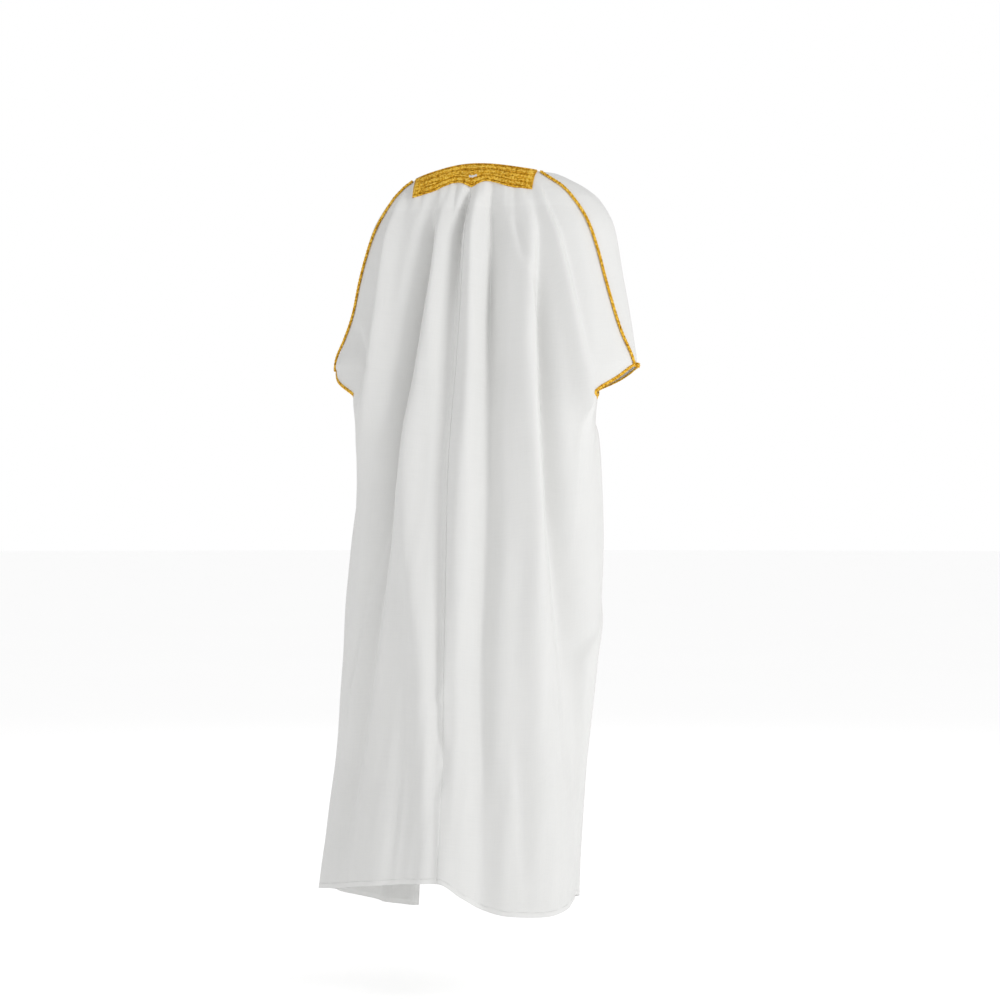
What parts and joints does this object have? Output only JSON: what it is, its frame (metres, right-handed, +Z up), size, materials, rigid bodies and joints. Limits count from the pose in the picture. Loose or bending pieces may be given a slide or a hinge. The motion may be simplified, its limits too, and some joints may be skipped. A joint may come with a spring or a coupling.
{
  "type": "thobe robe",
  "caption": "Long open-front robe for wear over a thobe, with wide elbow-length sleeves cut in one, a couched gold back-neck yoke, gold overarm piping and gold sleeve braid.",
  "frame": {"origin": "the point between the shoulders, level with the nape, where the wearer's shoulders carry the robe", "axes": "+Z up along the wearer, -Y to the wearer's front, +X to the wearer's left"},
  "size_m": [0.5982, 0.3893, 1.4166],
  "materials": {
    "robe_cloth": "plain-woven white polyester suiting, matt with a faint sheen",
    "gold_embroidery": "rows of couched gold cord",
    "gold_cord": "twisted gold thread"
  },
  "bodies": {
    "root": {"back_left": "robe_cloth", "back_right": "robe_cloth", "front_left": "robe_cloth", "front_right": "robe_cloth", "neck_facing": "robe_cloth", "neck_yoke": "gold_embroidery", "piping_left": "gold_cord", "piping_right": "gold_cord", "braid_left": "gold_cord", "braid_right": "gold_cord"}
  },
  "joints": []
}
